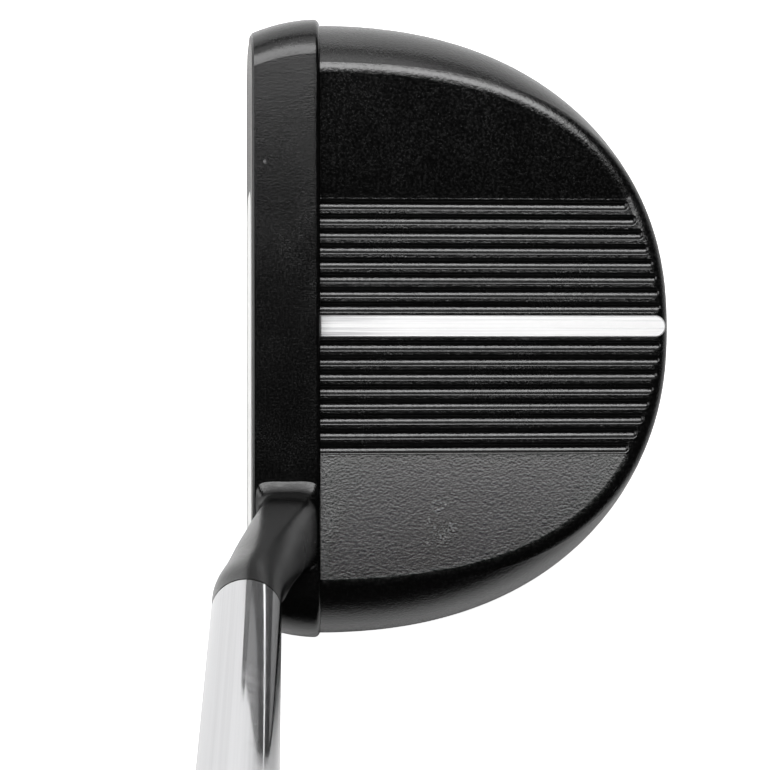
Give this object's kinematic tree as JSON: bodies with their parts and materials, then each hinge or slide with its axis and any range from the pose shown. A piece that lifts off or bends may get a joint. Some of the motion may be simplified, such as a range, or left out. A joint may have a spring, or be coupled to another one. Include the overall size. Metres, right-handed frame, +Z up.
{
  "type": "mallet putter",
  "caption": "Half-round mallet golf putter with a smooth front bar, grooved rear body, alignment bar, white face insert, chromed stepped shaft and rubber grip.",
  "frame": {"origin": "on the flat of the sole, below the alignment bar, 24 mm behind the top edge of the face", "axes": "+Z up, +Y from the face to the rear of the head, +X from the toe to the heel; the ball is struck towards -Y"},
  "size_m": [0.3772, 0.0823, 0.8149],
  "materials": {
    "satin_black": "smooth satin black anodised, bare milled face",
    "grained_black": "black anodised over a blasted, grained surface",
    "bright_bar": "bright bar brushed lengthwise",
    "fastener_steel": "plain steel",
    "white_insert": "moulded white elastomer",
    "adhesive_film": "double-sided bonding film",
    "weight_steel": "turned steel",
    "ring_rubber": "black rubber",
    "chrome_shaft": "polished chrome plate on steel tube",
    "epoxy": "black epoxy bead",
    "plug_rubber": "moulded plug",
    "tape": "double-sided grip tape",
    "grip_rubber": "moulded black rubber",
    "grip_cap_rubber": "moulded black rubber"
  },
  "bodies": {
    "root": {"front_bar": "satin_black", "rear_body": "grained_black", "alignment_inlay": "bright_bar", "inlay_screws": "fastener_steel", "face_insert": "white_insert", "insert_adhesive": "adhesive_film", "body_screws": "fastener_steel", "screw_washers": "fastener_steel", "body_dowels": "fastener_steel", "toe_weight": "weight_steel", "heel_weight": "weight_steel", "toe_weight_ring": "ring_rubber", "heel_weight_ring": "ring_rubber", "shaft": "chrome_shaft", "shaft_epoxy": "epoxy", "shaft_plug": "plug_rubber", "grip_tape": "tape", "grip": "grip_rubber", "grip_cap": "grip_cap_rubber"}
  },
  "joints": []
}
